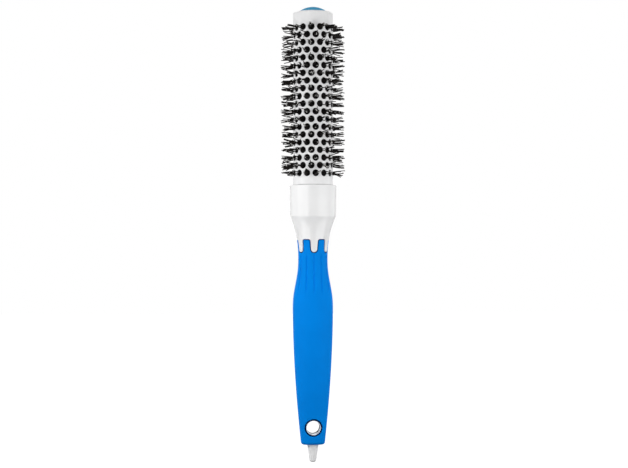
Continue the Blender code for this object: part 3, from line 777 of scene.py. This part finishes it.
# %% [markdown]
# ## The hanging hole in the skin
# A boolean would leave ragged triangles on such a smooth face.
# Instead, the quads inside the hole are deleted.
# The points round the opening are then drawn onto a true circle that still lies on the handle's surface.
# That edge is extruded in small steps to round the lip, and the two ends are bridged into one tunnel.

# %% Open the hole
LIP_RADIUS = 5.95 * MM
ON_SURFACE = 0.05 * MM


def on_outside(vert):
    """True for a vertex of the skin's outer surface, and not of its pockets."""
    return abs(abs(vert.co.y) - front_depth(vert.co.x, vert.co.z)) < ON_SURFACE


work = bmesh.from_edit_mesh(skin.data)
opening = []
for face in work.faces:
    middle = face.calc_center_median()
    if math.hypot(middle.x, middle.z) < LIP_RADIUS and all(on_outside(vert) for vert in face.verts):
        opening.append(face)
bpy.ops.mesh.select_mode(type="FACE")
bpy.ops.mesh.select_all(action="DESELECT")
for face in opening:
    face.select = True
bmesh.update_edit_mesh(skin.data)
print("quads inside the hole:", len(opening))
bpy.ops.mesh.delete(type="FACE")
bpy.ops.mesh.select_mode(type="VERT")


# %% Helpers for open edges
def select_open_edges(piece, wanted):
    """Select the open edges whose middle is wanted, and nothing else."""
    bpy.ops.mesh.select_all(action="DESELECT")
    work = bmesh.from_edit_mesh(piece.data)
    for edge in work.edges:
        if edge.is_boundary and wanted((edge.verts[0].co + edge.verts[1].co) / 2):
            edge.select_set(True)
    bmesh.update_edit_mesh(piece.data)


def move_selected(piece, moved):
    """Move each selected vertex: moved gives a point its new place."""
    work = bmesh.from_edit_mesh(piece.data)
    for vert in work.verts:
        if vert.select:
            vert.co = moved(vert.co)
    bmesh.update_edit_mesh(piece.data)


# %% Roll the lip and bridge the tunnel
LIP = [(5.84, 0.02), (5.75, 0.07), (5.68, 0.16), (5.63, 0.30), (5.61, 0.60),
       (5.60, 1.60), (4.74, 1.60), (4.70, 1.30)]


def round_hole(point):
    """True for a point round the hanging hole, on the front or the back."""
    return math.hypot(point.x, point.z) < LIP_RADIUS + MM and abs(point.z) < HOLE_ZONE


def draw_hole_edge(radius, sunk):
    """Draw the selected edges onto a circle, sunk below the handle's faces."""
    def moved(point):
        across = math.hypot(point.x, point.z)
        x, z = point.x * radius / across, point.z * radius / across
        side = 1 if point.y > 0 else -1
        return Vector((x, side * (front_depth(x, z) - sunk), z))
    move_selected(skin, moved)


select_open_edges(skin, round_hole)
draw_hole_edge(LIP_RADIUS, 0.0)
for radius, sunk in LIP:
    bpy.ops.mesh.extrude_region()
    draw_hole_edge(radius * MM, sunk * MM)
bpy.ops.mesh.bridge_edge_loops()
leave_ring(skin, soft_blue)

# %% Paint shade into the seams
SEAM_FOOT = FINGER_TIP - 2 * MM
SEAM_DEPTH = 0.30 * MM
RING_DEPTH = 1.2 * MM


def sunk_depth(point):
    """How far a point lies below the handle's own surface."""
    surface = handle_point(math.atan2(point.y, point.x), point.z)
    return surface.xy.length - point.xy.length


# The deep faces of the seams take the near-black blue as painted shade.
skin.data.materials.append(painted_shade_seam_blue)
in_seam = 0
for face in skin.data.polygons:
    middle = face.center
    near_hole = math.hypot(middle.x, middle.z) < LIP_RADIUS and abs(middle.y) > MM
    deep_enough = RING_DEPTH if near_hole else SEAM_DEPTH
    if (middle.z > SEAM_FOOT or near_hole) and sunk_depth(middle) > deep_enough:
        face.material_index = 1
        in_seam += 1
print("faces in the seams:", in_seam)
hand_in(skin, "grip_rubber", "grip")

# %% [markdown]
# ## Punched tube
# The tube is a metal sheet punched with staggered rows of holes, rolled up and coated white.
# One hole is modelled once, on a flat tile with a rounded lip, and three arrays lay it out as the flat sheet.
# The sheet is then rolled round the axis, its seam is merged, and both ends get a plain band.
# At the tip the band bends over and turns in to a round mouth for the end cap.

# %% Model one tile with its hole
TUBE_RADIUS = 12.5 * MM
TUBE_WALL = 0.6 * MM
HOLE_RADIUS = 2.1 * MM
HOLES_ROUND = 14
ROWS = 20
ROW_PITCH = 4.78 * MM
FIRST_ROW = TUBE_TIP - 10.25 * MM
ROW_TURN = math.radians(-9.5)
TILE_WIDTH = FULL_TURN * TUBE_RADIUS / HOLES_ROUND
TILE_SIDES = 24
HOLE_LIP = [(0.09, 0.0), (0.04, 0.02), (0.01, 0.05), (0.0, 0.10), (0.0, 0.52), (0.05, 0.60)]


def tile_point(column):
    """Border point of a column: the sides are shared out evenly, so that neighbours match."""
    per_side = TILE_SIDES // 4
    side, step = divmod(column + per_side // 2, per_side)
    along = step / per_side - 0.5
    x, z = [(along, 0.5), (0.5, -along), (-along, -0.5), (-0.5, along)][side % 4]
    return x * TILE_WIDTH, z * ROW_PITCH


def tile_ring(step, depth):
    """The hole's edge, widened by a step and sunk by a depth."""
    def place(column):
        turn = FULL_TURN * column / TILE_SIDES
        radius = HOLE_RADIUS + step
        return Vector((radius * math.sin(turn), depth, radius * math.cos(turn)))
    return place


def border_ring(depth):
    """The tile's square edge at a depth."""
    def place(column):
        x, z = tile_point(column)
        return Vector((x, depth, z))
    return place


tube = start_ring("punched_tube", TILE_SIDES)
set_ring(tube, border_ring(0.0))
grow(tube, [tile_ring(step * MM, depth * MM) for step, depth in HOLE_LIP])
grow(tube, [border_ring(TUBE_WALL)])
bpy.ops.object.mode_set(mode="OBJECT")
print("one tile has", len(tube.data.polygons), "faces")

# %% Lay out the sheet with arrays and roll it up
for count, shift in ((HOLES_ROUND, (TILE_WIDTH, 0, 0)),
                     (2, (TILE_WIDTH / 2, 0, -ROW_PITCH)),
                     (ROWS // 2, (0, 0, -2 * ROW_PITCH))):
    array = tube.modifiers.new("sheet", "ARRAY")
    array.use_relative_offset = False
    array.use_constant_offset = True
    array.constant_offset_displace = shift
    array.count = count
    bpy.ops.object.modifier_apply(modifier=array.name)
for vert in tube.data.vertices:
    angle = FRONT + ROW_TURN + vert.co.x / TUBE_RADIUS
    radius = TUBE_RADIUS - vert.co.y
    vert.co = Vector((radius * math.cos(angle), radius * math.sin(angle), FIRST_ROW + vert.co.z))
bpy.ops.object.mode_set(mode="EDIT")
bpy.ops.mesh.select_all(action="SELECT")
bpy.ops.mesh.remove_doubles(threshold=0.002 * MM)
work = bmesh.from_edit_mesh(tube.data)
print("open edges after rolling:", sum(edge.is_boundary for edge in work.edges))


# %% Helpers for the ends of the sheet
def select_tube_edge(upper, outer):
    """Select the open edge at the sheet's top or foot, on the outer or the inner skin."""
    middle = FIRST_ROW - ROW_PITCH * (ROWS - 1) / 2

    def wanted(point):
        at_wall = point.xy.length > TUBE_RADIUS - TUBE_WALL / 2
        return (point.z > middle) == upper and at_wall == outer
    select_open_edges(tube, wanted)


def stretch_edge(rings):
    """Extrude the selected edge through rings of (radius, height)."""
    for radius, height in rings:
        bpy.ops.mesh.extrude_region()
        move_selected(tube, lambda point: (*(point.xy.normalized() * radius), height))


def bend_round(radius, height, bend, side):
    """Rings of a quarter round from a wall to its end. Side is -1 at the wall's top and 1 at its foot."""
    rings = []
    for turn in quarter_turns():
        rings.append((radius - bend * (1 - math.cos(turn)), height + side * bend * (1 - math.sin(turn))))
    return rings


# %% Add the plain bands, the foot and the turned-in mouth
RIM_BEND = 1.2 * MM
FOOT_ROUND = 0.2 * MM
END_ZONE = 2 * MM
MOUTH_RADIUS = 9.8 * MM
MOUTH_LIP = [(0.30, 0.0), (0.12, 0.03), (0.03, 0.12), (0.0, 0.26), (0.05, 0.48), (0.30, 0.60)]

mouth = [(MOUTH_RADIUS + step * MM, TUBE_TIP - drop * MM) for step, drop in MOUTH_LIP]
select_tube_edge(upper=True, outer=True)
stretch_edge(bend_round(TUBE_RADIUS, TUBE_TIP, RIM_BEND, side=-1) + mouth)
select_tube_edge(upper=True, outer=False)
stretch_edge([(TUBE_RADIUS - TUBE_WALL, TUBE_TIP - RIM_BEND)])
select_tube_edge(upper=False, outer=True)
stretch_edge(bend_round(TUBE_RADIUS, TUBE_FOOT, FOOT_ROUND, side=1))
select_tube_edge(upper=False, outer=False)
stretch_edge([(TUBE_RADIUS - TUBE_WALL, TUBE_FOOT)])
for end in (TUBE_TIP, TUBE_FOOT):
    select_open_edges(tube, lambda point: abs(point.z - end) < END_ZONE)
    bpy.ops.mesh.bridge_edge_loops()
leave_ring(tube, ceramic_white, sharp_degrees=50.0)
tube.data.materials.append(bare_metal)
for face in tube.data.polygons:
    inside = face.center.xy.length < TUBE_RADIUS - 0.9 * TUBE_WALL
    if inside and face.center.z < TUBE_TIP - 0.5 * TUBE_WALL:
        face.material_index = 1
hand_in(tube, "ceramic_coat", "barrel")

# %% [markdown]
# ## End cap
# A blue domed cap fills the tube's mouth. Only its dome shows, with a fine groove round it.
# It is grown from the socket that holds the wire, down and round the skirt.
# From there the rings go on past the groove and over the dome.

# %% Grow the end cap
CAP_COLUMNS = 96
PLUG_RADIUS = 11.6 * MM
DOME_RADIUS = 9.5 * MM
CAP_WALL = 1.4 * MM
CAP_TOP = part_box("end_cap")[1].z
CAP_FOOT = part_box("end_cap")[0].z
CAP_BORE = 1.95 * MM
CAP_BORE_TOP = CAP_FOOT + 4.3 * MM
SKIRT_ROUND = 0.2 * MM
DOME_FOOT = TUBE_TIP - 0.3 * MM
DOME_RINGS = 21
CAP_CEILING = TUBE_TIP - 2.5 * MM
CAP_SHOULDER = TUBE_TIP - 1.5 * MM
CAP_SKIRT = TUBE_TIP - 6.0 * MM
DOME_HEIGHT = CAP_TOP - TUBE_TIP
bowl = (DOME_RADIUS ** 2 + DOME_HEIGHT ** 2) / (2 * DOME_HEIGHT)
spread = math.asin(DOME_RADIUS / bowl)

cap = start_ring("end_cap_dome", CAP_COLUMNS)
cap_rings = [(CAP_BORE, CAP_BORE_TOP), (CAP_BORE, CAP_FOOT), (CAP_BORE + CAP_WALL, CAP_FOOT),
             (CAP_BORE + CAP_WALL, CAP_CEILING), (PLUG_RADIUS - CAP_WALL, CAP_CEILING),
             (PLUG_RADIUS - CAP_WALL, CAP_SKIRT), (PLUG_RADIUS - SKIRT_ROUND, CAP_SKIRT),
             (PLUG_RADIUS, CAP_SKIRT + SKIRT_ROUND), (PLUG_RADIUS, CAP_SHOULDER),
             (DOME_RADIUS, CAP_SHOULDER), (DOME_RADIUS, DOME_FOOT)]
for k in range(DOME_RINGS):
    turn = spread * (1 - k / DOME_RINGS)
    cap_rings.append((bowl * math.sin(turn), CAP_TOP - bowl * (1 - math.cos(turn))))
set_ring(cap, round_ring(CAP_COLUMNS, *cap_rings[0]))
grow(cap, [round_ring(CAP_COLUMNS, radius, height) for radius, height in cap_rings[1:]])
close_ring()
leave_ring(cap, cap_blue, sharp_degrees=35.0)
hand_in(cap, "cap_plastic", "end_cap")

# %% [markdown]
# ## Bristles
# A twisted wire holds thousands of nylon filaments, and they leave the tube through its holes.
# Seen from outside there are two things: a dark, uneven bed inside the tube and loose tufts outside it.
# The bed is a ring grown along the wire with an uneven radius. At the top it rises round the cap's socket.
# It also keeps light from passing through the tube.

# %% Grow the filament bed
random.seed(41)
BED_COLUMNS = 40
BED_RINGS = 90
BED_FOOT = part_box("bristle_insert")[0].z
BED_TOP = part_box("bristle_insert")[1].z
BED_CROWN = BED_TOP + 1.5 * MM
BED_BORE = 2.0 * MM
BED_RECESS = 3.9 * MM
BED_LOW, BED_HIGH = 7.4 * MM, 9.2 * MM


def uneven_ring(height):
    """A level ring whose radius changes from column to column, as bundled filaments do."""
    reach = [random.uniform(BED_LOW, BED_HIGH) for _ in range(BED_COLUMNS)]

    def place(column):
        angle = FRONT + FULL_TURN * column / BED_COLUMNS
        return Vector((reach[column] * math.cos(angle), reach[column] * math.sin(angle), height))
    return place


bed = start_ring("filament_bed", BED_COLUMNS)
set_ring(bed, round_ring(BED_COLUMNS, BED_BORE, BED_FOOT))
grow(bed, [uneven_ring(z) for z in [BED_FOOT] + steps(BED_FOOT, BED_CROWN, BED_RINGS)])
bed_bore = [(BED_RECESS, BED_CROWN), (BED_RECESS, BED_TOP), (BED_BORE, BED_TOP), (BED_BORE, BED_FOOT)]
grow(bed, [round_ring(BED_COLUMNS, radius, height) for radius, height in bed_bore])
# The bed takes the darker nylon as painted shade.
leave_ring(bed, painted_shade_nylon, sharp_degrees=180.0)
hand_in(bed, "nylon", "bristle_insert")

# %% [markdown]
# ## One filament, copied into every hole
# A filament is a thin prism with a few segments, so that it can bend. It is modelled once.
# Filaments cling together in locks, and each hole lets two to four locks out.
# So the copies are laid in two steps.
# First each lock gets a line from the bed through its own spot in the hole and on to the tips' common radius.
# Then its filaments run beside that line, and draw together or spread at their tips.
# Every lean, bend and length is drawn at random from a fixed seed, so every run gives the same brush.

# %% Model the filament
FILAMENT_SIDES = 5
FILAMENT_LEVELS = [0.31, 0.48, 0.66, 0.83, 1.0]
FILAMENT_RADIUS = 0.28 * MM
ROOT_RADIUS = 9.0 * MM
TIP_RADIUS = 20.4 * MM
THROUGH = (TUBE_RADIUS - ROOT_RADIUS) / (TIP_RADIUS - ROOT_RADIUS)
CUT_END, IN_TUBE = 1, 2


def prism_ring(level):
    """A unit ring of the filament at a share of its length."""
    def place(column):
        turn = FULL_TURN * column / FILAMENT_SIDES
        return Vector((math.cos(turn), math.sin(turn), level))
    return place


filament = start_ring("filament", FILAMENT_SIDES)
set_ring(filament, prism_ring(0.0))
grow(filament, [prism_ring(level) for level in FILAMENT_LEVELS])
leave_ring(filament, black_nylon, sharp_degrees=60.0)
# Cut ends take the light grey as painted highlight, and the length inside the tube takes the darker nylon as
# painted shade.
for face in filament.data.polygons:
    if face.center.z > 0.99:
        face.material_index = CUT_END
    elif face.center.z < THROUGH:
        face.material_index = IN_TUBE

# %% Lines of a lock and of the filaments in it
LOCK_SPOT = 1.15 * MM
LOCK_ROOT_SHARE = 0.7
LOCK_ROOT = (0.5 * MM, 0.6 * MM)
LOCK_TIP_SHARE = (0.3, 1.4)
LOCK_LEAN = (0.70 * MM, 0.80 * MM)
LOCK_BOW = (0.14 * MM, 0.20 * MM)
LOCK_RADIUS = 0.55 * MM
FILAMENT_ROOT_SHARE = 1.5
FILAMENT_TIP_SHARE = (0.1, 1.0)
FILAMENT_LEAN = (0.25 * MM, 0.40 * MM)
FILAMENT_BOW = (0.05 * MM, 0.06 * MM)


def bent_line(root, spot, tip, bow):
    """Offset at a share of a filament's length: straight up to the hole, and bowed from there to the tip."""
    def offset(share):
        if share < THROUGH:
            return root + (spot - root) * share / THROUGH
        outside = (share - THROUGH) / (1 - THROUGH)
        return spot + (tip - spot) * outside + bow * math.sin(math.pi * outside)
    return offset


def scatter(across, along):
    """A random offset across the hole and along the brush."""
    return Vector((random.gauss(0.0, across), random.gauss(0.0, along)))


def lock_line(level):
    """Offsets of a lock's middle. Level runs from -1 at the hole's lower edge to 1 at its upper edge."""
    spot = LOCK_SPOT * Vector((math.sqrt(1 - level ** 2) * random.uniform(-1.0, 1.0), level))
    root = LOCK_ROOT_SHARE * spot + scatter(*LOCK_ROOT)
    tip = random.uniform(*LOCK_TIP_SHARE) * spot + scatter(*LOCK_LEAN)
    return bent_line(root, spot, tip, scatter(*LOCK_BOW))


def filament_line():
    """Offsets of one filament from its lock's middle."""
    turn = random.uniform(0.0, FULL_TURN)
    spot = LOCK_RADIUS * math.sqrt(random.random()) * Vector((math.cos(turn), math.sin(turn)))
    tip = random.uniform(*FILAMENT_TIP_SHARE) * spot + scatter(*FILAMENT_LEAN)
    return bent_line(FILAMENT_ROOT_SHARE * spot, spot, tip, scatter(*FILAMENT_BOW))


def filament_path(hole_angle, hole_height, lock, strand, tip_radius):
    """Centre line of a filament, as a function of the share of its length."""
    out = Vector((math.cos(hole_angle), math.sin(hole_angle), 0.0))
    across = Vector((-math.sin(hole_angle), math.cos(hole_angle), 0.0))

    def point(share):
        offset = lock(share) + strand(share)
        reach = ROOT_RADIUS + (tip_radius - ROOT_RADIUS) * share
        return out * reach + across * offset.x + Vector((0.0, 0.0, hole_height + offset.y))
    return point


# %% Copy it into every hole
LOCKS_IN_HOLE = (2, 2, 3, 3, 4)
FILAMENTS_IN_LOCK = (1, 1, 1, 2, 3)
LOCK_SHORT = 0.50 * MM
FILAMENT_SHORT = 0.45 * MM
NEARBY = 0.08


def lay_filament(work, path):
    """Copy the filament into the tuft and lay it along a path."""
    before = len(work.verts)
    work.from_mesh(filament.data)
    work.verts.ensure_lookup_table()
    for vert in work.verts[before:]:
        share = vert.co.z
        along = (path(min(1.0, share + NEARBY)) - path(max(0.0, share - NEARBY))).normalized()
        side = along.cross(Vector((0.0, 0.0, 1.0))).normalized()
        rise = side.cross(along)
        vert.co = path(share) + (rise * vert.co.x + side * vert.co.y) * FILAMENT_RADIUS


work = bmesh.new()
laid = 0
for row in range(ROWS):
    height = FIRST_ROW - ROW_PITCH * row
    for hole in range(HOLES_ROUND):
        angle = FRONT + ROW_TURN + FULL_TURN * (hole + 0.5 * (row % 2)) / HOLES_ROUND
        locks = random.choice(LOCKS_IN_HOLE)
        for k in range(locks):
            lock = lock_line(2 * (k + random.uniform(0.1, 0.9)) / locks - 1)
            lock_tip = TIP_RADIUS - abs(random.gauss(0.0, LOCK_SHORT))
            for _ in range(random.choice(FILAMENTS_IN_LOCK)):
                tip_radius = lock_tip - abs(random.gauss(0.0, FILAMENT_SHORT))
                lay_filament(work, filament_path(angle, height, lock, filament_line(), tip_radius))
                laid += 1
tufts = bpy.data.objects.new("bristle_tufts", bpy.data.meshes.new("bristle_tufts"))
work.to_mesh(tufts.data)
work.free()
bpy.context.collection.objects.link(tufts)
for finish in (black_nylon, painted_highlight_nylon, painted_shade_nylon):
    tufts.data.materials.append(finish)
bpy.data.objects.remove(filament)
hand_in(tufts, "nylon", "bristle_insert")
print("filaments:", laid, "faces:", len(tufts.data.polygons))

# %% [markdown]
# ## Pieces that stay as they are
# The twisted wire and the bush that centres it are hidden inside the tube, and their CAD shapes are right.
# They keep those shapes and only get a steel and a plastic finish.

# %% Finish the wire and the bush
for node, finish in (("core_wire", steel), ("wire_bush", bush_white)):
    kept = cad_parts[node]
    kept.data.materials.clear()
    kept.data.materials.append(finish)
    print(node, "has finish", finish.name)
